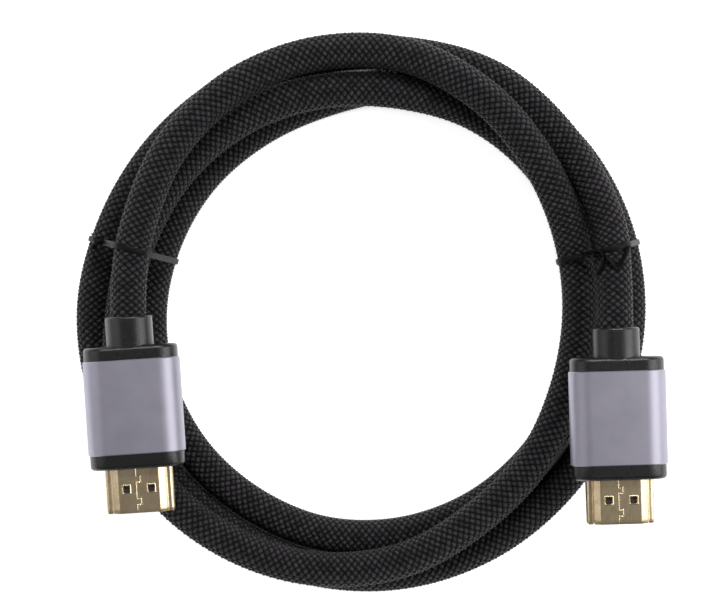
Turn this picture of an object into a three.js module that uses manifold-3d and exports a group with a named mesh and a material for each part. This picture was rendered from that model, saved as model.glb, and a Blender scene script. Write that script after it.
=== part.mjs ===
// A coiled video cable with a plug on each end, held by two wire ties.
// Millimetres, +Z up. The coil lies flat on the plane Z = 0, and +Y is the coil's far side.

import * as THREE from 'three';
import * as BufferGeometryUtils from 'three/addons/utils/BufferGeometryUtils.js';
import Module from 'manifold-3d';

const wasm = await Module();
wasm.setup();

// Driving dimensions of the cable and of the coil that it is wound into
const coilRadius = 50;
const cableDiameter = 7.5;
const cableSides = 12;
const cableSteps = 84;
const routeStep = 20;

// Driving dimensions of a plug, along its axis from the cable to the tip
const neckLength = 6;
const rearCapLength = 2.8;
const sleeveLength = 19.2;
const frontCapLength = 3;
const shellExposed = 9.1;

// Driving dimensions of a plug's sections
const neckWidth = 9.6;
const neckThickness = 9;
const neckRadius = 4.1;
const sleeveWidth = 19.8;
const sleeveThickness = 10.4;
const sleeveRadius = 4.4;
const sleeveWall = 0.7;
const capInset = 0.3;
const capBevel = 0.8;
const shellWidth = 13.9;
const shellHeight = 4.45;
const shellFlatWidth = 9;
const shellShoulder = 2.55;
const shellCorner = 0.6;
const shellWall = 0.35;
const windowSize = 1.35;
const windowSpacing = 5.05;
const windowFromTip = 4.9;
const insulatorRecess = 0.8;
const slotHeight = 1.5;
const slotSideGap = 0.35;
const slotRearWall = 2;
const contactPitch = 1;
const contactWidth = 0.5;
const contactThickness = 0.3;
const contactFromFront = 0.6;
const contactRoot = 0.8;
const contactGap = 0.1;
const upperContactCount = 10;
const lowerContactCount = 9;

// Driving dimensions of a wire tie
const tieWidth = 1.8;
const tieThickness = 0.5;
const tieTailLength = 2.4;
const tieTailSpacing = 1.8;

// How finely the curved forms are cut into flat faces
const roundSegments = 6;
const bevelSegments = 3;
const shellSegments = 4;
const tieSteps = 60;
const tieArcSteps = 4;

// Clearances between pieces that touch, between the cable's end and a neck that it enters aslant,
// and between a tie and the strands that it crosses aslant
const gap = 0.3;
const endGap = 0.8;
const tieGap = 0.6;

// Where the coil's middle lies, so that the whole object is centred on the origin
const coilCentre = new THREE.Vector3(-1.55, 0.4, 0);

// Places of the two plugs: on which side of the coil, how far outside the coil's radius, how far
// back and how high the middle of the neck's rear face lies, the heading of the tip, and the point
// that the cable passes between the neck and the coil, from the middle of the neck's rear face
const plugPlaces = {
  left: { side: -1, outside: -2.5, y: -1, z: 20.6, heading: -86.2, lead: [0.2, 8.5, -0.3] },
  right: { side: 1, outside: 2, y: -3.3, z: 20.3, heading: -88.4, lead: [-0.2, 11.3, -1.5] },
};

// The cable's route between the plugs, clockwise from the coil's left: one row for each route
// step, as how far outside the coil's radius and how high the centre line lies
const coilRoute = [
  [-1.2, 19.4], [1.3, 18.1], [3.1, 16.6], [3.8, 15.6], [3.4, 16.6], [0.8, 17.5],
  [-2.2, 16.7], [-4, 13.6], [-4.7, 11.9], [-4.4, 11.5], [-2.7, 11.6], [-0.9, 11.6],
  [2.3, 11.3], [4.2, 11.6], [5.1, 11.7], [5.3, 11.5], [2.7, 10.9], [-0.6, 10.7],
  [-1.8, 11.5], [-2.4, 11], [-3, 11], [-3.7, 11.5], [-3.8, 11.4], [-2.6, 10],
  [-1.9, 7.3], [-1.8, 5.6], [-2.4, 4.5], [-2.5, 3.75], [-2.4, 3.75], [-2.3, 3.75],
  [-2.4, 3.75], [-2.7, 3.75], [-3.6, 3.75], [-4.2, 3.75], [-4.9, 3.75], [-5.7, 4.7],
  [-6.4, 5.1], [-6.5, 4.4], [-6.3, 3.75], [-5, 3.75], [-1.6, 3.75], [2.3, 3.75],
  [5.5, 4.3], [6.1, 5.1], [6.1, 4.6], [5.7, 3.75], [5.5, 3.75], [5.6, 3.75],
  [5.5, 3.75], [5, 3.75], [4.1, 3.75], [3.8, 3.75], [6.1, 3.75], [6, 4.7], [4.7, 5.1],
  [4.1, 4.6], [3.9, 4.5], [3.9, 5.8], [4.4, 8.7], [5.6, 11.1], [4.8, 12.5], [4, 16],
];

const up = new THREE.Vector3(0, 0, 1);

// Where the ties cross the coil, and the strands that each tie bends round, bottom outside first,
// as angles along the route. A step past the last row ends at the lead point.
const ties = {
  left: { angle: 15, strands: [1095, 15, 735], knot: 0 },
  right: { angle: 166, strands: [886, 1251, 166, 526], knot: 1 },
};

// Colours and finishes
const braidBlack = { color: 0x17171a, roughness: 0.75, metalness: 0 };
const mouldedBlack = { color: 0x101012, roughness: 0.45, metalness: 0 };
const sleeveGrey = { color: 0x6f6d78, roughness: 0.4, metalness: 0.9 };
const paleGold = { color: 0xcdb98a, roughness: 0.28, metalness: 1 };
const contactGold = { color: 0xd8b45a, roughness: 0.25, metalness: 1 };
const tieBlack = { color: 0x0c0c0d, roughness: 0.35, metalness: 0 };

const object = new THREE.Group();

function addMesh(parent, name, geometry, finish) {
  const mesh = new THREE.Mesh(geometry, new THREE.MeshStandardMaterial(finish));
  mesh.name = name;
  parent.add(mesh);
  return mesh;
}

// Solids for joining and cutting

function toSolid(geometry) {
  const bare = geometry.clone();
  bare.deleteAttribute('normal');
  bare.deleteAttribute('uv');
  const merged = BufferGeometryUtils.mergeVertices(bare);
  return new wasm.Manifold(new wasm.Mesh({
    numProp: 3,
    vertProperties: new Float32Array(merged.attributes.position.array),
    triVerts: new Uint32Array(merged.index.array),
  }));
}

function toGeometry(solid) {
  const mesh = solid.getMesh();
  const geometry = new THREE.BufferGeometry();
  geometry.setAttribute('position', new THREE.BufferAttribute(mesh.vertProperties, 3));
  geometry.setIndex(new THREE.BufferAttribute(mesh.triVerts, 1));
  geometry.computeVertexNormals();
  return geometry;
}

function box(sizeX, sizeY, sizeZ, x, y, z) {
  return new THREE.BoxGeometry(sizeX, sizeY, sizeZ).translate(x, y, z);
}

// Outlines and prisms of a plug, whose axis is +X with the tip ahead and whose width is along Y

const alongPlug = new THREE.Matrix4().makeBasis(
  new THREE.Vector3(0, 1, 0),
  new THREE.Vector3(0, 0, 1),
  new THREE.Vector3(1, 0, 0),
);

function roundedRectangle(width, height, radius) {
  const x = width / 2 - radius;
  const y = height / 2 - radius;
  const quarter = Math.PI / 2;
  const shape = new THREE.Shape();
  shape.absarc(x, y, radius, 0, quarter);
  shape.absarc(-x, y, radius, quarter, 2 * quarter);
  shape.absarc(-x, -y, radius, 2 * quarter, 3 * quarter);
  shape.absarc(x, -y, radius, 3 * quarter, 4 * quarter);
  return shape;
}

function prism(shape, from, to, bevel = 0) {
  const geometry = new THREE.ExtrudeGeometry(shape, {
    depth: to - from - 2 * bevel,
    curveSegments: roundSegments,
    bevelEnabled: bevel > 0,
    bevelThickness: bevel,
    bevelSize: bevel,
    bevelOffset: -bevel,
    bevelSegments,
  });
  geometry.translate(0, 0, from + bevel);
  return geometry.applyMatrix4(alongPlug);
}

// The shell's outline: a wide lower part, a shoulder on each side, and a narrower top
function shellOutline(grow) {
  const side = shellWidth / 2 + grow;
  const top = shellHeight / 2 + grow;
  const shoulder = shellShoulder - shellHeight / 2 + grow;
  const corner = Math.max(shellCorner + grow, shellCorner / 6);
  const flat = shellFlatWidth / 2 + grow / 2;
  const slopeFoot = (flat + side) / 2;
  const quarter = Math.PI / 2;
  const half = new THREE.Path();
  half.moveTo(flat, top);
  half.quadraticCurveTo(slopeFoot, top, slopeFoot, (top + shoulder) / 2);
  half.lineTo(slopeFoot, shoulder);
  half.absarc(side - corner, shoulder - corner, corner, quarter, 0, true);
  half.absarc(side - corner, corner - top, corner, 0, -quarter, true);
  const points = half.getPoints(shellSegments);
  const left = points.map((point) => new THREE.Vector2(-point.x, point.y));
  const right = points.reverse();
  return new THREE.Shape([...right, ...left]);
}

function contactRowWidth(count) {
  return (count - 1) * contactPitch + contactWidth;
}

// A row of contact strips joined at the root, lying flat
function contactComb(count, length) {
  const width = contactRowWidth(count);
  const shape = new THREE.Shape();
  shape.moveTo(0, -width / 2);
  for (let i = 0; i < count; i += 1) {
    const start = i * contactPitch - width / 2;
    shape.lineTo(length, start);
    shape.lineTo(length, start + contactWidth);
    if (i < count - 1) {
      shape.lineTo(contactRoot, start + contactWidth);
      shape.lineTo(contactRoot, start + contactPitch);
    }
  }
  shape.lineTo(0, width / 2);
  const settings = { depth: contactThickness, bevelEnabled: false };
  return new THREE.ExtrudeGeometry(shape, settings);
}

// Places along the plug's axis, from the neck's rear face
const rearCapBack = neckLength;
const sleeveBack = rearCapBack + rearCapLength;
const sleeveFront = sleeveBack + sleeveLength;
const capFront = sleeveFront + frontCapLength;
const shellTip = capFront + shellExposed;

const capWidth = sleeveWidth - 2 * capInset;
const capThickness = sleeveThickness - 2 * capInset;
const capRadius = sleeveRadius - capInset;
const boreWidth = sleeveWidth - 2 * sleeveWall;
const boreThickness = sleeveThickness - 2 * sleeveWall;
const boreRadius = sleeveRadius - sleeveWall;

// The black moulding: the neck, the rear cap and the block that fills the sleeve
function plugBody() {
  const capOutline = roundedRectangle(capWidth, capThickness, capRadius);
  const neckOutline = roundedRectangle(neckWidth, neckThickness, neckRadius);
  const blockOutline = roundedRectangle(
    boreWidth - 2 * gap,
    boreThickness - 2 * gap,
    boreRadius - gap,
  );
  const capBlank = toSolid(prism(capOutline, rearCapBack, sleeveFront, capBevel));
  const trimLength = sleeveLength + 2 * gap;
  const capTrim = box(
    trimLength,
    2 * sleeveWidth,
    2 * sleeveThickness,
    sleeveBack - gap + trimLength / 2,
    0,
    0,
  );
  const cap = capBlank.subtract(toSolid(capTrim));
  const neck = toSolid(prism(neckOutline, 0, sleeveBack - 2 * gap));
  const block = toSolid(prism(blockOutline, rearCapBack + 2 * gap, sleeveFront - gap));
  return toGeometry(cap.add(neck).add(block));
}

function sleeve() {
  const outline = roundedRectangle(sleeveWidth, sleeveThickness, sleeveRadius);
  outline.holes.push(roundedRectangle(boreWidth, boreThickness, boreRadius));
  return prism(outline, sleeveBack, sleeveFront);
}

function frontCap() {
  const outline = roundedRectangle(capWidth, capThickness, capRadius);
  const blank = toSolid(prism(outline, sleeveBack, capFront, capBevel));
  const keep = box(
    frontCapLength,
    2 * sleeveWidth,
    2 * sleeveThickness,
    sleeveFront + gap + frontCapLength / 2,
    0,
    0,
  );
  const opening = prism(shellOutline(gap), sleeveFront - gap, capFront + gap);
  return toGeometry(blank.intersect(toSolid(keep)).subtract(toSolid(opening)));
}

function shell() {
  const outline = shellOutline(0);
  outline.holes.push(shellOutline(-shellWall));
  let solid = toSolid(prism(outline, sleeveFront, shellTip));
  for (const side of [-1, 1]) {
    const window = box(
      windowSize,
      windowSize,
      2 * shellHeight,
      shellTip - windowFromTip,
      side * windowSpacing / 2,
      0,
    );
    solid = solid.subtract(toSolid(window));
  }
  return toGeometry(solid);
}

const insulatorFront = shellTip - insulatorRecess;
const slotBack = sleeveFront + slotRearWall;
const slotWidth = contactRowWidth(upperContactCount) + 2 * slotSideGap;
const slotMiddle = shellShoulder - shellHeight / 2 - shellWall - gap - slotHeight / 2;

function insulator() {
  const block = toSolid(prism(shellOutline(-shellWall - gap), sleeveFront, insulatorFront));
  const length = insulatorFront + gap - slotBack;
  const slot = box(length, slotWidth, slotHeight, slotBack + length / 2, 0, slotMiddle);
  return toGeometry(block.subtract(toSolid(slot)));
}

// The middle of a neck's rear face
function neckEnd({ side, outside, y, z }) {
  return new THREE.Vector3(side * (coilRadius + outside), y, z);
}

function addPlug(side, place) {
  const plug = new THREE.Group();
  plug.position.copy(neckEnd(place));
  plug.rotation.z = THREE.MathUtils.degToRad(place.heading);
  object.add(plug);
  addMesh(plug, `${side}_plug_body`, plugBody(), mouldedBlack);
  addMesh(plug, `${side}_sleeve`, sleeve(), sleeveGrey);
  addMesh(plug, `${side}_front_cap`, frontCap(), mouldedBlack);
  addMesh(plug, `${side}_shell`, shell(), paleGold);
  addMesh(plug, `${side}_insulator`, insulator(), mouldedBlack);

  const contactBack = slotBack + contactGap;
  const length = insulatorFront - contactFromFront - contactBack;
  const upperComb = contactComb(upperContactCount, length);
  const lowerComb = contactComb(lowerContactCount, length);
  const upper = addMesh(plug, `${side}_upper_contacts`, upperComb, contactGold);
  const lower = addMesh(plug, `${side}_lower_contacts`, lowerComb, contactGold);
  const wallOffset = slotHeight / 2 - contactGap;
  upper.position.set(contactBack, 0, slotMiddle + wallOffset - contactThickness);
  lower.position.set(contactBack, 0, slotMiddle - wallOffset);
}

// The cable's route, from the left plug round the coil to the right plug

function onCoil(angle, outside, height) {
  const turned = THREE.MathUtils.degToRad(angle);
  const radius = coilRadius + outside;
  return new THREE.Vector3(-radius * Math.cos(turned), radius * Math.sin(turned), height);
}

// The cable's end stops just short of the neck's rear face
function cableEnd(place) {
  const heading = THREE.MathUtils.degToRad(place.heading);
  const back = new THREE.Vector3(-Math.cos(heading), -Math.sin(heading), 0);
  return neckEnd(place).addScaledVector(back, endGap);
}

// The point that the cable passes between a neck and the coil
function leadPoint(place) {
  return neckEnd(place).add(new THREE.Vector3(...place.lead));
}

const { left, right } = plugPlaces;
const routeStart = [cableEnd(left), leadPoint(left)];
const routeEnd = [leadPoint(right), cableEnd(right)];
const coilPoints = coilRoute.map(([outside, height], row) => (
  onCoil((row + 1) * routeStep, outside, height)
));
const routePoints = [...routeStart, ...coilPoints, ...routeEnd];
const route = new THREE.CatmullRomCurve3(routePoints);

// The centre of the strand at an angle on the coil, whose first point is one route step in
function strandAt(angle) {
  const index = routeStart.length + angle / routeStep - 1;
  return route.getPoint(index / (routePoints.length - 1));
}

function circle(diameter, sides) {
  const shape = new THREE.Shape();
  for (let i = 0; i < sides; i += 1) {
    const turned = (i + 0.5) * 2 * Math.PI / sides;
    const point = [diameter / 2 * Math.cos(turned), diameter / 2 * Math.sin(turned)];
    if (i === 0) shape.moveTo(...point);
    else shape.lineTo(...point);
  }
  return shape;
}

function addCable() {
  const geometry = new THREE.ExtrudeGeometry(circle(cableDiameter, cableSides), {
    steps: cableSteps,
    extrudePath: route,
  });
  addMesh(object, 'cable', geometry, braidBlack);
}

// A tie bends round the outer strands of the bundle in one upright plane, and both of its ends
// stand up side by side between two of the strands
function tiePath(tie) {
  const reach = cableDiameter / 2 + tieGap + tieThickness / 2;
  const centres = tie.strands.map((angle) => {
    const strand = strandAt(angle);
    return new THREE.Vector2(Math.hypot(strand.x, strand.y), strand.z);
  });
  const count = centres.length;
  const outward = centres.map((centre, i) => {
    const edge = centres[(i + 1) % count].clone().sub(centre);
    return Math.atan2(-edge.x, edge.y);
  });
  const points = [];
  for (let k = 1; k <= count; k += 1) {
    const i = (tie.knot + k) % count;
    const from = outward[(i + count - 1) % count];
    const sweep = THREE.MathUtils.euclideanModulo(outward[i] - from, 2 * Math.PI);
    for (let j = 0; j <= tieArcSteps; j += 1) {
      const turned = from + sweep * j / tieArcSteps;
      const arm = new THREE.Vector2(Math.cos(turned), Math.sin(turned));
      points.push(centres[i].clone().addScaledVector(arm, reach));
    }
    if (k < count) {
      const arm = new THREE.Vector2(Math.cos(outward[i]), Math.sin(outward[i]));
      const between = centres[i].clone().lerp(centres[(i + 1) % count], 0.5);
      points.push(between.addScaledVector(arm, reach));
    }
  }
  const knotNormal = new THREE.Vector2(Math.cos(outward[tie.knot]), Math.sin(outward[tie.knot]));
  const knotAlong = new THREE.Vector2(-knotNormal.y, knotNormal.x);
  const middle = points[0].clone().add(points[points.length - 1]).multiplyScalar(0.5);
  const first = middle.clone().addScaledVector(knotAlong, tieTailSpacing / 2);
  const last = middle.clone().addScaledVector(knotAlong, -tieTailSpacing / 2);
  points.unshift(first.clone().addScaledVector(knotNormal, tieTailLength), first);
  points.push(last, last.clone().addScaledVector(knotNormal, tieTailLength));
  return new THREE.CatmullRomCurve3(points.map((point) => new THREE.Vector3(point.x, point.y, 0)));
}

function addTie(side, tie) {
  const section = new THREE.Shape();
  section.moveTo(-tieWidth / 2, -tieThickness / 2);
  section.lineTo(tieWidth / 2, -tieThickness / 2);
  section.lineTo(tieWidth / 2, tieThickness / 2);
  section.lineTo(-tieWidth / 2, tieThickness / 2);
  const settings = { steps: tieSteps, extrudePath: tiePath(tie) };
  const geometry = new THREE.ExtrudeGeometry(section, settings);
  const radial = onCoil(tie.angle, 0, 0).normalize();
  const across = new THREE.Vector3().crossVectors(radial, up);
  geometry.applyMatrix4(new THREE.Matrix4().makeBasis(radial, up, across));
  addMesh(object, `${side}_wire_tie`, geometry, tieBlack);
}

addCable();
for (const [side, place] of Object.entries(plugPlaces)) addPlug(side, place);
for (const [side, tie] of Object.entries(ties)) addTie(side, tie);
object.position.copy(coilCentre);

export default object;
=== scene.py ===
"""The looks of a coiled video cable: a braided black cable, two plugs and two wire ties.

Sizes are in millimetres and are turned into metres where a mesh is made. A plug's own frame has +X
from the cable to the tip, +Y across its width and +Z up, with the origin at the middle of the
neck's rear face.
"""

import math

import bpy
import numpy as np
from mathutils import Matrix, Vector


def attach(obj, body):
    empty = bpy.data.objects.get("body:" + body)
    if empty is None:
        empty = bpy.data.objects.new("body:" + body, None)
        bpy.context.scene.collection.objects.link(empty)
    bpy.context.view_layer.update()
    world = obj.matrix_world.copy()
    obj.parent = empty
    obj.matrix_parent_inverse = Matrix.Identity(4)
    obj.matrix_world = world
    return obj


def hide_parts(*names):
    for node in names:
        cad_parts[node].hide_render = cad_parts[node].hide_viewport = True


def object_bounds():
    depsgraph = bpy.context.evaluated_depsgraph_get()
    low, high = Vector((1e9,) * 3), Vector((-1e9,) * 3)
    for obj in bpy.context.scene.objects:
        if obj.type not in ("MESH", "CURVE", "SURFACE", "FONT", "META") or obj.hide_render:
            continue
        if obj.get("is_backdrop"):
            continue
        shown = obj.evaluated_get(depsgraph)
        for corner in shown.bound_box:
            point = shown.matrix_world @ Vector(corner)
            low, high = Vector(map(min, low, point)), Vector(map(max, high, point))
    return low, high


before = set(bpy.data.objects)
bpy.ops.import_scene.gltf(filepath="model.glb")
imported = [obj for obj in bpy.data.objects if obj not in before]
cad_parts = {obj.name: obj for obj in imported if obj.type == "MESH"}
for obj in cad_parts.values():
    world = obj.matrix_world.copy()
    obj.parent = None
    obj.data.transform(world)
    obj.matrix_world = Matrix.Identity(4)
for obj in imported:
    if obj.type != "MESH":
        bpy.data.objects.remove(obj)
cad_low, cad_high = (list(corner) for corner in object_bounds())

METRES = 0.001

# The camera, straight above the coil
CAMERA_HEIGHT = 600
CAMERA_X = -1.23
CAMERA_Y = 1.67
SENSOR_WIDTH = 36
IMAGE_WIDTH = 725
PIXELS_PER_MM = 4.73

# The cable's route, as in the part's source
COIL_RADIUS = 50
COIL_CENTRE = np.array([-1.55, 0.4, 0])
ROUTE_STEP = 20
END_GAP = 0.8
PLUG_PLACES = {
    "left": {"side": -1, "outside": -2.5, "y": -1, "z": 20.6, "heading": -86.2,
             "lead": (0.2, 8.5, -0.3)},
    "right": {"side": 1, "outside": 2, "y": -3.3, "z": 20.3, "heading": -88.4,
              "lead": (-0.2, 11.3, -1.5)},
}
COIL_ROUTE = [
    (-1.2, 19.4), (1.3, 18.1), (3.1, 16.6), (3.8, 15.6), (3.4, 16.6), (0.8, 17.5),
    (-2.2, 16.7), (-4, 13.6), (-4.7, 11.9), (-4.4, 11.5), (-2.7, 11.6), (-0.9, 11.6),
    (2.3, 11.3), (4.2, 11.6), (5.1, 11.7), (5.3, 11.5), (2.7, 10.9), (-0.6, 10.7),
    (-1.8, 11.5), (-2.4, 11), (-3, 11), (-3.7, 11.5), (-3.8, 11.4), (-2.6, 10),
    (-1.9, 7.3), (-1.8, 5.6), (-2.4, 4.5), (-2.5, 3.75), (-2.4, 3.75), (-2.3, 3.75),
    (-2.4, 3.75), (-2.7, 3.75), (-3.6, 3.75), (-4.2, 3.75), (-4.9, 3.75), (-5.7, 4.7),
    (-6.4, 5.1), (-6.5, 4.4), (-6.3, 3.75), (-5, 3.75), (-1.6, 3.75), (2.3, 3.75),
    (5.5, 4.3), (6.1, 5.1), (6.1, 4.6), (5.7, 3.75), (5.5, 3.75), (5.6, 3.75),
    (5.5, 3.75), (5, 3.75), (4.1, 3.75), (3.8, 3.75), (6.1, 3.75), (6, 4.7),
    (4.7, 5.1), (4.1, 4.6), (3.9, 4.5), (3.9, 5.8), (4.4, 8.7), (5.6, 11.1),
    (4.8, 12.5), (4, 16),
]

# The braid: columns round the cable, and the distance from one row of crossings to the next
CABLE_RADIUS = 3.75
BRAID_COLUMNS = 24
BRAID_ROW = 0.725
BRAID_HOLLOW = 0.45
BRAID_SIDE = 0.2
CABLE_IN_NECK = 1.5

# A plug's places along its axis, its sections, and the steps of its meshes
NECK_LENGTH = 6
SLEEVE_BACK = 8.8
SLEEVE_FRONT = 28
CAP_FRONT = 31
SHELL_TIP = 40.1
NECK_SECTION = (9.6, 9, 4.1)
NECK_ROUND = 0.5
NECK_BORE_RADIUS = 4
NECK_FLARE = 0.15
NECK_BORE_DEPTH = 1.9
NECK_RAYS = 96
GROOVE_WIDTH = 0.35
GROOVE_DEPTH = 1
SLEEVE_SECTION = (19.8, 10.4, 4.4)
SLEEVE_WALL = 0.7
SLEEVE_CHAMFER = 0.18
CAP_INSET = 0.3
CAP_ROUND = 0.8
CAP_STEPS = 7
CAP_RAYS = 168
SHELL_WALL = 0.35
SHELL_GAP = 0.3
SHELL_HALF_HEIGHT = 2.225
SHELL_HALF_WIDTH = 6.95
SHELL_FLAT = 4.2
WINDOW_HALF = 0.675
WINDOW_RIM = 0.26
WINDOW_MARGIN = 0.35
RIM_HEIGHT = 0.1
WINDOW_OFFSET = 2.525
WINDOW_PLACE = 35.2
SEAM_PLACE = -0.37
SEAM_JOGS = ((32.4, 33.8), (37.0, 38.4))
SEAM_JOG_DEPTH = 0.85
SEAM_JOG_FLARE = 0.18
SEAM_DEPTH = 0.09
LIP_DEPTH = 0.09
SHELL_FINE = 0.07
SHELL_STEP = 0.1
SHELL_COARSE = 0.27

# The wire ties: which strands each bends round, bottom outside first, as in the part's source.
# The tails are the loose ends' points past the knot, in the scene's frame.
TIES = {
    "left": {
        "angle": 15, "strands": (1095, 15, 735), "knot": 0,
        "tails": [
            [(-56.7, 14.3, 11.6), (-57.2, 13.4, 9.8)],
            [(-56.6, 15.6, 11.4), (-57.2, 16.4, 9.4)],
        ],
    },
    "right": {
        "angle": 166, "strands": (886, 1251, 166, 526), "knot": 1,
        "tails": [
            [(45.6, 12.6, 20.2), (46.6, 12.9, 21.3), (47.6, 12.3, 21.6), (48.0, 11.2, 21.8),
             (47.8, 9.8, 22.0), (47.2, 8.6, 21.8), (46.6, 7.9, 21.4)],
            [(48.2, 11.8, 21.6), (49.5, 10.5, 22.4), (50.6, 9.2, 22.8), (51.6, 10.6, 22.6),
             (52.5, 12.4, 21.8), (53.0, 13.6, 20.6)],
        ],
    },
}
TIE_GAP = 0.18
TIE_ARC_STEPS = 6
TIE_POINTS_PER_SPAN = 16
TIE_RINGS = 260
TAIL_RINGS = 110
TAIL_TURNS = 1.25
TWISTED_SHARE = 0.45
TAIL_SPACING = 0.9
KNOT_RISE = 0.5
TAIL_RISE = 0.8

# The floor's half side, how far it lies below the part, its painted glow, and how far from a
# piece the glow returns; nearer than that, the glow is dimmed as painted shade in crevices
FLOOR_HALF = 3000
FLOOR_DROP = 0.02
FLOOR_GLOW = 0.85
CREVICE_REACH = 12

# Each lamp's place and size in metres, and its radiance, then the sky's
LAMPS = {
    "far_lamp": ((0.05, 0.55, 0.75), (0.5, 0.22), 12.5),
    "right_lamp": ((0.72, 0.05, 0.55), (0.3, 0.8), 5.0),
    "left_lamp": ((-0.72, 0.05, 0.5), (0.3, 0.8), 1.5),
}
SKY_COLOUR = (0.96, 0.97, 1, 1)
SKY_STRENGTH = 0.2


# ---- Lines and frames ----


def catmull_rom(points, per_span):
    """The centripetal curve through the points, with per_span points from each to the next."""
    p = np.asarray(points, float)
    p = np.vstack([2 * p[0] - p[1], p, 2 * p[-1] - p[-2]])
    t = np.linspace(0, 1, per_span, endpoint=False)[:, None]
    spans = []
    for x0, x1, x2, x3 in zip(p, p[1:], p[2:], p[3:]):
        d0, d1, d2 = (np.sum((b - a) ** 2) ** 0.25 for a, b in ((x0, x1), (x1, x2), (x2, x3)))
        t1 = ((x1 - x0) / d0 - (x2 - x0) / (d0 + d1) + (x2 - x1) / d1) * d1
        t2 = ((x2 - x1) / d1 - (x3 - x1) / (d1 + d2) + (x3 - x2) / d2) * d1
        spans.append(
            x1 + t1 * t + (3 * (x2 - x1) - 2 * t1 - t2) * t**2 + (2 * (x1 - x2) + t1 + t2) * t**3
        )
    spans.append(p[-2:-1])
    return np.vstack(spans)


def spaced(line, count):
    """The line again, as count points that are evenly spaced along it."""
    along = np.concatenate([[0], np.cumsum(np.linalg.norm(np.diff(line, axis=0), axis=1))])
    at = np.linspace(0, along[-1], count)
    return np.stack([np.interp(at, along, line[:, k]) for k in range(3)], axis=1)


def length_of(line):
    return float(np.linalg.norm(np.diff(line, axis=0), axis=1).sum())


def unit(vectors):
    return vectors / np.linalg.norm(vectors, axis=-1, keepdims=True)


def carried_frames(line, first_side):
    """Two directions across the line at each point, carried along it without twisting."""
    ahead = unit(np.gradient(line, axis=0))
    side = np.asarray(first_side, float)
    sides = []
    for direction in ahead:
        side = unit(side - direction * side.dot(direction))
        sides.append(side)
    sides = np.array(sides)
    return sides, np.cross(ahead, sides)


# ---- Meshes ----


def add_piece(name, points, faces, material, slot, replaced=(), sharp=35, uvs=None):
    """A mesh object from points in millimetres, smooth except at edges sharper than the angle."""
    mesh = bpy.data.meshes.new(name)
    mesh.from_pydata((np.asarray(points) * METRES).tolist(), [], [list(f) for f in faces])
    if uvs is not None:
        layer = mesh.uv_layers.new(name="braid")
        layer.data.foreach_set("uv", np.asarray(uvs, np.float32).ravel())
    mesh.validate()
    mesh.polygons.foreach_set("use_smooth", [True] * len(mesh.polygons))
    if sharp:
        mesh.set_sharp_from_angle(angle=math.radians(sharp))
    mesh.materials.append(material)
    piece = bpy.data.objects.new(name, mesh)
    bpy.context.scene.collection.objects.link(piece)
    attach(piece, "root")
    if replaced:
        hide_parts(*replaced)
    return piece


def loft(rings, closed=False):
    """Faces over rings of equally many points, which meet at the ends or are capped there."""
    count = len(rings[0])
    points = np.vstack(rings)
    faces = []
    last = len(rings) if closed else len(rings) - 1
    for r in range(last):
        a, b = r * count, ((r + 1) % len(rings)) * count
        for k in range(count):
            n = (k + 1) % count
            faces.append((a + k, a + n, b + n, b + k))
    if not closed:
        faces.append(tuple(range(count))[::-1])
        faces.append(tuple(range(len(points) - count, len(points))))
    return points, faces


def rounded_rectangle(width, height, radius, steps=12):
    """The outline of a section, as points (y, z), anticlockwise from the right."""
    corners = ((1, 1, 0), (-1, 1, 90), (-1, -1, 180), (1, -1, 270))
    outline = []
    for y, z, start in corners:
        for turned in np.radians(np.linspace(start, start + 90, steps)):
            outline.append((
                y * (width / 2 - radius) + radius * math.cos(turned),
                z * (height / 2 - radius) + radius * math.sin(turned),
            ))
    return np.array(outline)


def inset_section(section, inset):
    width, height, radius = section
    return width - 2 * inset, height - 2 * inset, max(radius - inset, 0.3)


def section_ring(x, section, inset=0.0):
    outline = rounded_rectangle(*inset_section(section, inset))
    return np.column_stack([np.full(len(outline), x), outline])


def by_direction(outline, count):
    """The outline again, as the points where count evenly turned rays from the middle meet it."""
    closed = np.vstack([outline, outline[:1]])
    points = []
    for turned in np.arange(count) * 2 * math.pi / count:
        ray = np.array([math.cos(turned), math.sin(turned)])
        best = 0.0
        for a, b in zip(closed, closed[1:]):
            edge = b - a
            cross = ray[0] * edge[1] - ray[1] * edge[0]
            if abs(cross) < 1e-12:
                continue
            reach = (a[0] * edge[1] - a[1] * edge[0]) / cross
            share = (a[0] * ray[1] - a[1] * ray[0]) / cross
            if -1e-9 <= share <= 1 + 1e-9 and reach > best:
                best = reach
        points.append(ray * best)
    return np.array(points)


def at_x(x, outline):
    return np.column_stack([np.full(len(outline), x), outline])


def round_edge(radius, steps):
    """Advances and insets round an edge, from the side over to the end."""
    angles = np.radians(np.linspace(0, 90, steps))
    return [(radius * math.sin(a), radius * (1 - math.cos(a))) for a in angles]


# ---- Material nodes ----


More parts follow.
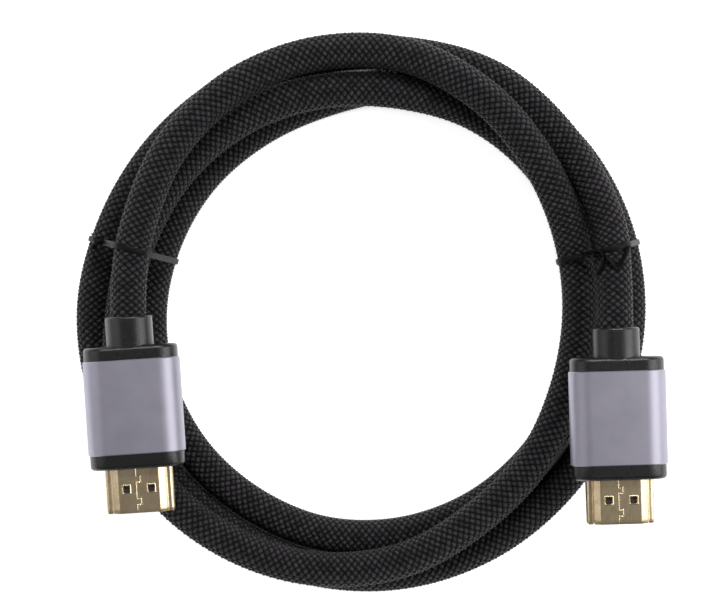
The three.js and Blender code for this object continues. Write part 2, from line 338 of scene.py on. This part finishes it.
class Nodes:
    """Builds one material's nodes: each call adds a node and gives its first output."""

    def __init__(self, name):
        self.material = bpy.data.materials.new(name)
        self.material.use_nodes = True
        self.tree = self.material.node_tree
        self.shader = self.tree.nodes["Principled BSDF"]

    def add(self, kind, inputs=None, output=0, **settings):
        node = self.tree.nodes.new(kind)
        for key, value in settings.items():
            setattr(node, key, value)
        for key, value in (inputs or {}).items():
            self.plug(node.inputs[key], value)
        return node.outputs[output]

    def plug(self, socket, value):
        if isinstance(value, bpy.types.NodeSocket):
            self.tree.links.new(value, socket)
        else:
            socket.default_value = value

    def math(self, operation, a, b=0.0, clamp=False):
        return self.add("ShaderNodeMath", {0: a, 1: b}, operation=operation, use_clamp=clamp)

    def millimetres(self, scale=(1, 1, 1)):
        place = self.add("ShaderNodeTexCoord", output="Object")
        inputs = {"Vector": place, "Scale": tuple(s / METRES for s in scale)}
        return self.add("ShaderNodeMapping", inputs)

    def noise(self, vector, scale, detail=2.0, rough=0.5):
        inputs = {"Vector": vector, "Scale": scale, "Detail": detail, "Roughness": rough}
        return self.add("ShaderNodeTexNoise", inputs)

    def spread(self, value, low, high, to_low, to_high):
        inputs = {0: value, 1: low, 2: high, 3: to_low, 4: to_high}
        return self.add("ShaderNodeMapRange", inputs)

    def blend(self, share, first, second):
        node = self.tree.nodes.new("ShaderNodeMix")
        node.data_type = "RGBA"
        self.plug(node.inputs["Factor"], share)
        self.plug(node.inputs["A"], first)
        self.plug(node.inputs["B"], second)
        return node.outputs["Result"]

    def bump(self, height, strength, distance):
        inputs = {"Height": height, "Strength": strength, "Distance": distance * METRES}
        return self.add("ShaderNodeBump", inputs)

    def finish(self, **inputs):
        for key, value in inputs.items():
            self.plug(self.shader.inputs[key.replace("_", " ")], value)
        return self.material


def grey(value):
    return (value, value, value, 1)


def braid_material():
    """Black nylon yarns in a plain braid: over and under, column by column, with painted shade in
    the hollows between the yarns.
    """
    n = Nodes("black_braid")
    place = n.add("ShaderNodeUVMap", uv_map="braid")
    split = n.tree.nodes.new("ShaderNodeSeparateXYZ")
    n.tree.links.new(place, split.inputs[0])
    u, v = split.outputs[0], split.outputs[1]
    s = n.math("MULTIPLY", n.math("ADD", u, v), 0.5)
    t = n.math("MULTIPLY", n.math("SUBTRACT", u, v), 0.5)
    i, j = n.math("ROUND", s), n.math("ROUND", t)
    ds, dt = n.math("SUBTRACT", s, i), n.math("SUBTRACT", t, j)
    other = n.math("FLOORED_MODULO", n.math("ADD", i, j), 2.0)
    along = n.add("ShaderNodeMix", {"Factor": other, "A": ds, "B": dt})
    across = n.add("ShaderNodeMix", {"Factor": other, "A": dt, "B": ds})
    cell = n.add("ShaderNodeCombineXYZ", {0: i, 1: j})
    chance = n.add("ShaderNodeTexWhiteNoise", {"Vector": cell}, noise_dimensions="2D")
    wide = n.math("POWER", n.math("MULTIPLY", across, 2.0), 2.0)
    section = n.math("SQRT", n.math("SUBTRACT", 1.0, n.math("MULTIPLY", wide, 0.96)))
    arch = n.math("COSINE", n.math("MULTIPLY", along, math.pi * 0.9))
    form = n.math("MULTIPLY", section, arch)
    mm = n.millimetres()
    stray = n.math("MULTIPLY", n.noise(mm, 1.6), 0.35)
    lines = n.math("SINE", n.math("MULTIPLY", n.math("ADD", across, stray), 2 * math.pi * 7))
    fibre = n.noise(mm, 9.0, 3.0, 0.65)
    relief = n.math("ADD", form, n.math("MULTIPLY", lines, 0.03))
    relief = n.math("ADD", relief, n.math("MULTIPLY", fibre, 0.12))
    # Painted shade: the colour is darker towards the hollows between the yarns and lighter on their
    # crowns, and it varies at random from bump to bump.
    light = n.math("MULTIPLY", n.math("POWER", form, 1.6), n.spread(chance, 0, 1, 0.35, 1.0))
    light = n.math("MULTIPLY", light, n.spread(fibre, 0.35, 0.65, 0.6, 1.15), clamp=True)
    colour = n.blend(light, (0.0006, 0.0006, 0.0007, 1), (0.066, 0.058, 0.066, 1))
    shine = n.spread(n.math("ADD", chance, fibre), 0.4, 1.6, 0.28, 0.42)
    rough = n.math("ADD", shine, n.spread(form, 0.25, 0.8, 0.5, 0.0))
    return n.finish(
        Base_Color=colour,
        Roughness=rough,
        Specular_IOR_Level=0.28,
        Sheen_Weight=0.01,
        Sheen_Roughness=0.4,
        Normal=n.bump(relief, 1.0, 0.55),
    )


def moulded_material():
    """Satin black moulded plastic with a fine sparkling grain."""
    n = Nodes("moulded_black")
    mm = n.millimetres()
    grain = n.noise(mm, 3.2, 4.0, 0.7)
    pits = n.add("ShaderNodeTexVoronoi", {"Vector": mm, "Scale": 5.5})
    cloud = n.noise(mm, 0.35, 2.0)
    relief = n.math("ADD", grain, n.math("MULTIPLY", pits, 0.5))
    rough = n.math("ADD", n.spread(grain, 0.3, 0.7, 0.22, 0.36), n.math("MULTIPLY", cloud, 0.05))
    colour = n.blend(n.spread(grain, 0.35, 0.65, 0, 1), grey(0.0025), (0.007, 0.006, 0.0072, 1))
    return n.finish(
        Base_Color=colour,
        Roughness=rough,
        Specular_IOR_Level=0.6,
        Normal=n.bump(relief, 0.7, 0.05),
    )


def sleeve_material():
    """Grey anodised aluminium, blasted matt."""
    n = Nodes("anodised_grey")
    mm = n.millimetres()
    blast = n.noise(mm, 11.0, 3.0, 0.6)
    cloud = n.noise(mm, 0.22, 3.0, 0.55)
    colour = n.blend(n.spread(cloud, 0.3, 0.7, 0, 1), (0.39, 0.374, 0.44, 1),
                     (0.425, 0.407, 0.48, 1))
    rough = n.math("ADD", n.spread(blast, 0.3, 0.7, 0.43, 0.49), n.math("MULTIPLY", cloud, 0.04))
    return n.finish(
        Base_Color=colour,
        Metallic=0.95,
        Roughness=rough,
        Normal=n.bump(blast, 0.25, 0.02),
    )


def gold_material(name, base, deep):
    """Thin plating over stamped sheet, faintly drawn along and tarnished in patches."""
    n = Nodes(name)
    mm = n.millimetres()
    drawn = n.noise(n.millimetres((1, 0.06, 1)), 9.0, 2.0)
    patch = n.noise(mm, 0.55, 3.0, 0.6)
    colour = n.blend(n.spread(patch, 0.35, 0.68, 0, 1), base, deep)
    rough = n.math("ADD", n.spread(drawn, 0.3, 0.7, 0.2, 0.27), n.math("MULTIPLY", patch, 0.12))
    relief = n.math("ADD", drawn, n.math("MULTIPLY", n.noise(mm, 2.2, 2.0), 0.8))
    return n.finish(
        Base_Color=colour,
        Metallic=1.0,
        Roughness=rough,
        Normal=n.bump(relief, 0.12, 0.02),
    )


def insulator_material():
    """The dark filled plastic that carries the contacts."""
    n = Nodes("insulator_dark")
    mm = n.millimetres()
    grain = n.noise(mm, 6.0, 3.0, 0.6)
    colour = n.blend(grain, grey(0.018), grey(0.032))
    return n.finish(
        Base_Color=colour,
        Roughness=n.spread(grain, 0.3, 0.7, 0.5, 0.65),
        Normal=n.bump(grain, 0.3, 0.03),
    )


def tie_material():
    """The shiny black skin of a wire tie, wrinkled where it was bent."""
    n = Nodes("tie_black")
    mm = n.millimetres()
    wrinkle = n.noise(mm, 1.8, 3.0, 0.6)
    colour = n.blend(wrinkle, grey(0.002), grey(0.006))
    return n.finish(
        Base_Color=colour,
        Roughness=n.spread(wrinkle, 0.3, 0.7, 0.36, 0.6),
        Specular_IOR_Level=0.13,
        Normal=n.bump(wrinkle, 0.5, 0.12),
    )


braid_black = braid_material()
moulded_black = moulded_material()
sleeve_grey = sleeve_material()
pale_gold = gold_material("plated_shell", (0.83, 0.67, 0.435, 1), (0.64, 0.5, 0.31, 1))
contact_gold = gold_material("contact_gold", (0.85, 0.62, 0.26, 1), (0.72, 0.5, 0.2, 1))
insulator_dark = insulator_material()
tie_black = tie_material()


# ---- Camera ----

camera_data = bpy.data.cameras.new("camera")
camera_data.sensor_width = SENSOR_WIDTH
camera_data.lens = SENSOR_WIDTH * PIXELS_PER_MM * CAMERA_HEIGHT / IMAGE_WIDTH
camera = bpy.data.objects.new("camera", camera_data)
camera.location = np.array([CAMERA_X, CAMERA_Y, CAMERA_HEIGHT]) * METRES
bpy.context.scene.collection.objects.link(camera)
bpy.context.scene.camera = camera


# ---- The cable ----


def on_coil(angle, outside, height):
    turned = math.radians(angle)
    radius = COIL_RADIUS + outside
    return np.array([-radius * math.cos(turned), radius * math.sin(turned), height])


def neck_end(place):
    """The middle of a neck's rear face, from the coil's middle."""
    return np.array([place["side"] * (COIL_RADIUS + place["outside"]), place["y"], place["z"]])


def axis_of(place):
    turned = math.radians(place["heading"])
    return np.array([math.cos(turned), math.sin(turned), 0])


left, right = PLUG_PLACES["left"], PLUG_PLACES["right"]
coil_points = [
    on_coil((row + 1) * ROUTE_STEP, outside, height)
    for row, (outside, height) in enumerate(COIL_ROUTE)
]
route_points = [
    neck_end(left) - END_GAP * axis_of(left),
    neck_end(left) + left["lead"],
    *coil_points,
    neck_end(right) + right["lead"],
    neck_end(right) - END_GAP * axis_of(right),
]
POINTS_PER_SPAN = 40
route = catmull_rom(route_points, POINTS_PER_SPAN)


def strand_at(angle):
    """The middle of the strand at an angle along the route, from the coil's middle."""
    index = 2 + angle / ROUTE_STEP - 1
    return route[round(index * POINTS_PER_SPAN)]


def braid_points(line):
    """Points on rings round the line, high and low by turns, then the hubs between them."""
    sides, ups = carried_frames(line, (1, 0, 0))
    middles = (line[1:] + line[:-1]) / 2
    middle_sides, middle_ups = (unit(d[1:] + d[:-1]) for d in (sides, ups))
    k = np.arange(BRAID_COLUMNS)
    turned = k * 2 * math.pi / BRAID_COLUMNS
    low = (k[None, :] + np.arange(len(line))[:, None]) % 2
    radius = CABLE_RADIUS - BRAID_HOLLOW * low
    ring = (
        line[:, None]
        + (radius * np.cos(turned))[..., None] * sides[:, None]
        + (radius * np.sin(turned))[..., None] * ups[:, None]
    )
    between = turned + math.pi / BRAID_COLUMNS
    hub_radius = CABLE_RADIUS - BRAID_SIDE
    hub = (
        middles[:, None]
        + (hub_radius * np.cos(between))[None, :, None] * middle_sides[:, None]
        + (hub_radius * np.sin(between))[None, :, None] * middle_ups[:, None]
    )
    return np.vstack([ring.reshape(-1, 3), hub.reshape(-1, 3), line[:1], line[-1:]])


def braid_faces(rows):
    """Four triangles round each hub, then the two ends, with UVs that count columns and rows."""
    m, c = np.meshgrid(np.arange(rows), np.arange(BRAID_COLUMNS), indexing="ij")
    a = m * BRAID_COLUMNS + c
    b = m * BRAID_COLUMNS + (c + 1) % BRAID_COLUMNS
    vertex = {
        "a": a, "b": b, "d": a + BRAID_COLUMNS, "e": b + BRAID_COLUMNS,
        "h": (rows + 1) * BRAID_COLUMNS + a,
    }
    corner = {
        "a": (c, m), "b": (c + 1, m), "e": (c + 1, m + 1), "d": (c, m + 1),
        "h": (c + 0.5, m + 0.5),
    }
    triangles = ("abh", "beh", "edh", "dah")
    faces = np.stack([
        np.stack([vertex[name] for name in triangle], -1) for triangle in triangles
    ], 2).reshape(-1, 3)
    uvs = np.stack([
        np.stack([np.stack(corner[name], -1) for name in triangle], 2) for triangle in triangles
    ], 2).reshape(-1, 2)
    first = (2 * rows + 1) * BRAID_COLUMNS
    last = first + 1
    end_faces = []
    for q in range(BRAID_COLUMNS):
        r = (q + 1) % BRAID_COLUMNS
        end_faces.append((first, r, q))
        end_faces.append((last, rows * BRAID_COLUMNS + q, rows * BRAID_COLUMNS + r))
    uvs = np.vstack([uvs, np.zeros((3 * len(end_faces), 2))])
    return np.vstack([faces, end_faces]), uvs


def add_cable():
    into_left = neck_end(left) + CABLE_IN_NECK * axis_of(left)
    into_right = neck_end(right) + CABLE_IN_NECK * axis_of(right)
    whole = np.vstack([into_left, route, into_right]) + COIL_CENTRE
    rows = round(length_of(whole) / BRAID_ROW)
    faces, uvs = braid_faces(rows)
    cable = add_piece(
        "braided_cable", braid_points(spaced(whole, rows + 1)), faces, braid_black, "braid",
        ["cable"], sharp=0, uvs=uvs,
    )
    return cable, whole


cable, cable_line = add_cable()


# ---- The plugs ----


def in_place(points, place):
    """Points of a plug's own frame, in the scene's frame."""
    ahead = axis_of(place)
    side = np.array([-ahead[1], ahead[0], 0])
    points = np.asarray(points)
    origin = neck_end(place) + COIL_CENTRE
    return origin + points[:, :1] * ahead + points[:, 1:2] * side + points[:, 2:] * (0, 0, 1)


CAP_SECTION = inset_section(SLEEVE_SECTION, CAP_INSET)


def neck_rings():
    """The neck's outside from the rear cap back to its rounded rim, and into its bore."""
    places = [(SLEEVE_BACK - 1, 0), (NECK_ROUND + 0.05, 0)]
    places += [(NECK_ROUND - x, inset) for x, inset in round_edge(NECK_ROUND, 5)]
    rings = []
    for x, inset in places:
        outline = rounded_rectangle(*inset_section(NECK_SECTION, inset))
        rings.append(at_x(x, by_direction(outline, NECK_RAYS)))
    turned = np.arange(NECK_RAYS) * 2 * math.pi / NECK_RAYS
    bore = NECK_BORE_RADIUS * np.column_stack([np.cos(turned), np.sin(turned)])
    rings.append(at_x(NECK_FLARE, bore))
    rings.append(at_x(NECK_BORE_DEPTH, bore))
    return rings


def cap_rings():
    """The rear cap: a rounded rear edge, and a groove round the neck."""
    rings = []
    for x, inset in ((SLEEVE_BACK + 0.5, SLEEVE_WALL), (SLEEVE_BACK + 0.1, SLEEVE_WALL),
                     (SLEEVE_BACK + 0.1, 0), (NECK_LENGTH + CAP_ROUND, 0)):
        rings.append(section_ring(x, CAP_SECTION, inset))
    for x, inset in round_edge(CAP_ROUND, CAP_STEPS):
        rings.append(section_ring(NECK_LENGTH + CAP_ROUND - x, CAP_SECTION, inset))
    rings = [at_x(ring[0, 0], by_direction(ring[:, 1:], CAP_RAYS)) for ring in rings]
    groove = rounded_rectangle(*inset_section(NECK_SECTION, -GROOVE_WIDTH))
    for x in (NECK_LENGTH, NECK_LENGTH + GROOVE_DEPTH):
        rings.append(at_x(x, by_direction(groove, CAP_RAYS)))
    return rings


def sleeve_rings():
    """A thin tube with a small chamfer at each end."""
    outside = [(SLEEVE_BACK, SLEEVE_CHAMFER), (SLEEVE_BACK + SLEEVE_CHAMFER, 0),
               (SLEEVE_FRONT - SLEEVE_CHAMFER, 0), (SLEEVE_FRONT, SLEEVE_CHAMFER)]
    inside = [(SLEEVE_FRONT, SLEEVE_WALL), (SLEEVE_BACK, SLEEVE_WALL)]
    return [section_ring(x, SLEEVE_SECTION, inset) for x, inset in outside + inside]


def front_cap_rings():
    rings = []
    for x, inset in ((SLEEVE_FRONT - 0.4, SLEEVE_WALL), (SLEEVE_FRONT - 0.1, SLEEVE_WALL),
                     (SLEEVE_FRONT - 0.1, 0), (CAP_FRONT - CAP_ROUND, 0)):
        rings.append(section_ring(x, CAP_SECTION, inset))
    for x, inset in round_edge(CAP_ROUND, CAP_STEPS):
        rings.append(section_ring(CAP_FRONT - CAP_ROUND + x, CAP_SECTION, inset))
    rings = [at_x(ring[0, 0], by_direction(ring[:, 1:], CAP_RAYS)) for ring in rings]
    opening = by_direction(shell_outline(SHELL_GAP)[0], CAP_RAYS)
    rings.append(at_x(CAP_FRONT, opening))
    rings.append(at_x(SLEEVE_FRONT - 0.2, opening))
    return rings


def fillet(corners, radii, steps=7):
    """A line through the corners, each rounded by an arc of its radius."""
    points = [corners[0]]
    for before, corner, after, radius in zip(corners, corners[1:], corners[2:], radii):
        a, b = unit(before - corner), unit(after - corner)
        half = math.acos(np.clip(a.dot(b), -1, 1)) / 2
        reach = radius / math.tan(half)
        middle = corner + unit(a + b) * radius / math.sin(half)
        start, end = corner + a * reach - middle, corner + b * reach - middle
        for share in np.linspace(0, 1, steps):
            mixed = unit(start * (1 - share) + end * share)
            points.append(middle + mixed * radius)
    points.append(corners[-1])
    return np.array(points)


def shell_outline(grow, top_lines=(), bottom_lines=()):
    """The shell's outline as points (y, z), and each point's direction outwards.

    It has a flat, narrower top, a hollow slope to a rounded shoulder, and a wide bottom.
    """
    height, width = SHELL_HALF_HEIGHT, SHELL_HALF_WIDTH
    corners = np.array([
        (SHELL_FLAT - 0.6, height), (SHELL_FLAT, height), (5.5, 1.4), (5.68, 0.5),
        (width, 0.4), (width, -height), (SHELL_FLAT + 1, -height),
    ])
    side = fillet(corners, (0.9, 0.18, 0.22, 0.72, 0.62))
    bottom = [(y, -height) for y in sorted(bottom_lines, reverse=True)]
    top = [(y, height) for y in sorted(top_lines)]
    left_side = side[::-1] * (-1, 1)
    loop = np.vstack([part for part in (side, bottom, left_side, top) if len(part)])
    ahead = unit(np.roll(loop, -1, axis=0) - np.roll(loop, 1, axis=0))
    outward = np.column_stack([-ahead[:, 1], ahead[:, 0]])
    return loop + grow * outward, outward


def lines_between(start, end, step):
    return np.linspace(start, end, max(2, round((end - start) / step) + 1))


def smooth_step(value, low, high):
    t = np.clip((value - low) / (high - low), 0, 1)
    return t * t * (3 - 2 * t)


def seam_distance(x, y):
    """How far each point of the flat side is from the seam, which has two dovetail jogs."""
    corners = [(CAP_FRONT - 2.0, SEAM_PLACE)]
    for start, end in SEAM_JOGS:
        corners += [
            (start + SEAM_JOG_FLARE, SEAM_PLACE), (start, SEAM_PLACE + SEAM_JOG_DEPTH),
            (end, SEAM_PLACE + SEAM_JOG_DEPTH), (end - SEAM_JOG_FLARE, SEAM_PLACE),
        ]
    corners.append((SHELL_TIP + 1, SEAM_PLACE))
    points = np.stack([x, y], -1)
    best = np.full(x.shape, 9.0)
    for a, b in zip(np.array(corners), np.array(corners[1:])):
        edge = b - a
        share = np.clip(((points - a) @ edge) / edge.dot(edge), 0, 1)
        away = np.linalg.norm(points - a - share[..., None] * edge, axis=-1)
        best = np.minimum(best, away)
    return best


def window_distance(x, y):
    """How far each point lies outside the nearer window's edge, negative inside it."""
    best = np.full(x.shape, 9.0)
    for offset in (-WINDOW_OFFSET, WINDOW_OFFSET):
        away = np.maximum(np.abs(x - WINDOW_PLACE), np.abs(y - offset)) - WINDOW_HALF
        best = np.minimum(best, away)
    return best


def window_lines(middle):
    """Grid lines across a window, which are close together over its rims."""
    low, high = middle - WINDOW_HALF, middle + WINDOW_HALF
    return [
        *lines_between(low - WINDOW_MARGIN, low, SHELL_FINE),
        *lines_between(low, high, SHELL_COARSE)[1:],
        *lines_between(high, high + WINDOW_MARGIN, SHELL_FINE)[1:],
    ]


def shell_mesh():
    """A thin stamped shell: rimmed windows on both broad sides, and a seam with jogs on top."""
    windows = window_lines(-WINDOW_OFFSET) + window_lines(WINDOW_OFFSET)
    seam = lines_between(SEAM_PLACE - 0.2, SEAM_PLACE + SEAM_JOG_DEPTH + 0.2, SHELL_FINE * 0.8)
    top_lines = windows + list(seam)
    bottom_lines = windows + [-5, -4.4, 0, 4.4, 5]
    outline, outward = shell_outline(0, top_lines, bottom_lines)
    places = [SLEEVE_FRONT + 1, CAP_FRONT - 0.2, CAP_FRONT + 0.3, CAP_FRONT + 0.8]
    beside = WINDOW_HALF + WINDOW_MARGIN + SHELL_FINE
    places += list(lines_between(CAP_FRONT + 1.2, WINDOW_PLACE - beside, SHELL_STEP))
    places += window_lines(WINDOW_PLACE)
    places += list(lines_between(WINDOW_PLACE + beside, SHELL_TIP - 1.4, SHELL_STEP))
    places += [SHELL_TIP - 1, SHELL_TIP - 0.5, SHELL_TIP - 0.1]
    x = np.array(places)[:, None] + 0 * outline[None, :, 0]
    y = outline[None, :, 0] + 0 * x
    z = outline[None, :, 1] + 0 * x
    on_top = (outward[:, 1] > 0.999) & (np.abs(outline[:, 0]) < SHELL_FLAT - 0.2)
    on_bottom = (outward[:, 1] < -0.999) & (np.abs(outline[:, 0]) < SHELL_HALF_WIDTH - 1)
    flat = (on_top | on_bottom)[None, :]
    window = window_distance(x, y)
    crest = smooth_step(window, -0.02, 0.06) * (1 - smooth_step(window, 0.14, WINDOW_RIM))
    rim = RIM_HEIGHT * crest
    rim[np.abs(window) < 0.01] = 0.4 * RIM_HEIGHT
    groove = -SEAM_DEPTH * (1 - smooth_step(seam_distance(x, y), 0.03, 0.11))
    lip = -LIP_DEPTH * smooth_step(x, SHELL_TIP - 0.35, SHELL_TIP)
    rise = np.where(flat, rim, 0) + np.where(on_top[None, :], groove, 0) + lip
    outer = np.stack([x, y + rise * outward[:, 0], z + rise * outward[:, 1]], -1)
    inner = np.stack([
        x, y - SHELL_WALL * outward[:, 0], z - SHELL_WALL * outward[:, 1],
    ], -1)
    tip = outer[-1:].copy()
    tip[..., 0] = SHELL_TIP
    tip[..., 1:] -= 0.08 * outward[None]
    outer = np.concatenate([outer, tip])
    inner_tip = inner[-1:].copy()
    inner_tip[..., 0] = SHELL_TIP
    inner = np.concatenate([inner, inner_tip])
    rows, columns = outer.shape[:2]
    points = np.vstack([outer.reshape(-1, 3), inner.reshape(-1, 3)])
    behind = rows * columns
    faces = []
    edges = {}
    for r in range(rows - 1):
        for c in range(columns):
            n = (c + 1) % columns
            quad = (r * columns + c, r * columns + n, (r + 1) * columns + n, (r + 1) * columns + c)
            middle = outer.reshape(-1, 3)[list(quad)].mean(0)
            both_flat = flat[0, c] and flat[0, n]
            if both_flat and window_distance(middle[:1], middle[1:2])[0] < 0:
                continue
            faces.append(quad)
            faces.append(tuple(q + behind for q in quad[::-1]))
            for p, q in zip(quad, quad[1:] + quad[:1]):
                edges[(p, q)] = True
    for p, q in edges:
        if (q, p) not in edges:
            faces.append((q, p, p + behind, q + behind))
    return points, faces


def add_plug(side, place):
    def piece(name, points, faces, material, slot, replaced=(), sharp=35):
        return add_piece(
            f"{side}_{name}", in_place(points, place), faces, material, slot, replaced, sharp
        )

    body = f"{side}_plug_body"
    pieces = [
        piece("neck", *loft(neck_rings()), moulded_black, "moulding", [body]),
        piece("rear_cap", *loft(cap_rings()), moulded_black, "moulding", [body]),
        piece("grey_sleeve", *loft(sleeve_rings(), True), sleeve_grey, "sleeve",
              [f"{side}_sleeve"]),
        piece("cap_in_front", *loft(front_cap_rings(), True), moulded_black, "moulding",
              [f"{side}_front_cap"]),
        piece("stamped_shell", *shell_mesh(), pale_gold, "plated_steel", [f"{side}_shell"]),
    ]
    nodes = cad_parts
    insulator = nodes[f"{side}_insulator"]
    upper, lower = nodes[f"{side}_upper_contacts"], nodes[f"{side}_lower_contacts"]
    for node, material in ((insulator, insulator_dark), (upper, contact_gold),
                           (lower, contact_gold)):
        node.data.materials.clear()
        node.data.materials.append(material)
    return pieces + [insulator, upper, lower]


plug_pieces = {side: add_plug(side, place) for side, place in PLUG_PLACES.items()}


# ---- The wire ties ----


def tie_round(tie):
    """The tie's middle line as points (radius, height) in its upright plane, knot to knot."""
    reach = CABLE_RADIUS + TIE_GAP
    centres = []
    for angle in tie["strands"]:
        strand = strand_at(angle)
        centres.append(np.array([math.hypot(strand[0], strand[1]), strand[2]]))
    count = len(centres)
    outward = []
    for i, centre in enumerate(centres):
        edge = centres[(i + 1) % count] - centre
        outward.append(math.atan2(-edge[0], edge[1]))
    points = []
    for k in range(1, count + 1):
        i = (tie["knot"] + k) % count
        start = outward[i - 1]
        sweep = (outward[i] - start) % (2 * math.pi)
        for j in range(TIE_ARC_STEPS + 1):
            turned = start + sweep * j / TIE_ARC_STEPS
            points.append(centres[i] + reach * np.array([math.cos(turned), math.sin(turned)]))
    normal = np.array([math.cos(outward[tie["knot"]]), math.sin(outward[tie["knot"]])])
    along = np.array([-normal[1], normal[0]])
    middle = (points[0] + points[-1]) / 2
    return points, middle, normal, along


TIE_SECTION = np.array([
    (-0.62, -0.08), (-0.62, 0.06), (-0.34, 0.07), (-0.26, 0.22), (-0.1, 0.32), (0.1, 0.32),
    (0.26, 0.22), (0.34, 0.07), (0.62, 0.06), (0.62, -0.08), (0.25, -0.18), (-0.25, -0.18),
])


def ribbon(line, widths):
    """A tie's ribbon with its wire ridge, swept along a line with given width directions."""
    ahead = unit(np.gradient(line, axis=0))
    widths = unit(widths - ahead * (widths * ahead).sum(1, keepdims=True))
    normals = np.cross(widths, ahead)
    return loft([
        point + TIE_SECTION[:, :1] * width + TIE_SECTION[:, 1:] * normal
        for point, width, normal in zip(line, widths, normals)
    ])


def joined(meshes):
    """Several meshes' points and faces as those of one mesh."""
    points, faces, start = [], [], 0
    for some_points, some_faces in meshes:
        points.append(some_points)
        faces += [tuple(q + start for q in face) for face in some_faces]
        start += len(some_points)
    return np.vstack(points), faces


def tail(points, first_width):
    """A loose end of a tie, whose ribbon twists over the first part of its way."""
    line = spaced(catmull_rom(points, TIE_POINTS_PER_SPAN), TAIL_RINGS)
    sides, ups = carried_frames(line, first_width)
    share = smooth_step(np.linspace(0, 1, len(line)), 0, TWISTED_SHARE)[:, None]
    turned = 2 * math.pi * TAIL_TURNS * share
    widths = sides * np.cos(turned) + ups * np.sin(turned)
    return ribbon(line, widths)


def add_tie(name, tie):
    radial = unit(on_coil(tie["angle"], 0, 0))
    up = np.array([0, 0, 1.0])
    across = np.cross(radial, up)

    def upright(point):
        return point[0] * radial + point[1] * up + COIL_CENTRE

    points, middle, normal, along = tie_round(tie)
    ends = [middle + side * TAIL_SPACING / 2 * along for side in (1, -1)]
    knots = [end + KNOT_RISE * normal for end in ends]
    line = np.array([upright(p) for p in (knots[0], ends[0], *points, ends[1], knots[1])])
    line = spaced(catmull_rom(line, TIE_POINTS_PER_SPAN), TIE_RINGS)
    widths = np.tile(across, (len(line), 1))
    meshes = [ribbon(line, widths)]
    for end, loose in zip(ends, tie["tails"]):
        way = [upright(end), upright(end + TAIL_RISE * normal), *loose]
        meshes.append(tail(way, across))
    return add_piece(
        f"{name}_tie", *joined(meshes), tie_black, "tie", [f"{name}_wire_tie"], sharp=50
    )


tie_pieces = [add_tie(name, tie) for name, tie in TIES.items()]


# ---- Floor and light ----


def add_floor():
    """A pale floor that glows a little, as painted light, and is dimmed to painted shade in the
    narrow slits between strands.
    """
    n = Nodes("pale_floor")
    colour = n.blend(n.noise(n.millimetres(), 0.01, 2.0), grey(0.93), grey(0.95))
    reach = {"Distance": CREVICE_REACH * METRES}
    # Painted shade: the glow fades out where the floor is hemmed in by strands.
    open_sky = n.add("ShaderNodeAmbientOcclusion", reach, "AO", samples=8)
    material = n.finish(
        Base_Color=colour, Roughness=0.9, Specular_IOR_Level=0.1,
        Emission_Color=grey(1), Emission_Strength=n.spread(open_sky, 0.2, 0.5, 0, FLOOR_GLOW),
    )
    z = cad_low[2] / METRES - FLOOR_DROP
    mesh = bpy.data.meshes.new("floor")
    corners = [(x * FLOOR_HALF, y * FLOOR_HALF, z) for x, y in ((-1, -1), (1, -1), (1, 1), (-1, 1))]
    mesh.from_pydata((np.array(corners) * METRES).tolist(), [], [(0, 1, 2, 3)])
    mesh.materials.append(material)
    floor = bpy.data.objects.new("floor", mesh)
    bpy.context.scene.collection.objects.link(floor)
    floor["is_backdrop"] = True


def add_light(name, place, size, radiance):
    """A soft rectangular lamp that faces the object, as bright as its radiance says."""
    data = bpy.data.lights.new(name, "AREA")
    data.shape = "RECTANGLE"
    data.size, data.size_y = size
    data.energy = radiance * math.pi * size[0] * size[1]
    lamp = bpy.data.objects.new(name, data)
    lamp.location = place
    lamp.rotation_euler = (-Vector(place)).to_track_quat("-Z", "Y").to_euler()
    bpy.context.scene.collection.objects.link(lamp)


add_floor()
for name, (place, size, radiance) in LAMPS.items():
    add_light(name, place, size, radiance)

world = bpy.data.worlds.new("studio")
world.use_nodes = True
sky = world.node_tree.nodes["Background"].inputs
sky["Color"].default_value = SKY_COLOUR
sky["Strength"].default_value = SKY_STRENGTH
bpy.context.scene.world = world
bpy.context.scene.view_settings.view_transform = "Standard"
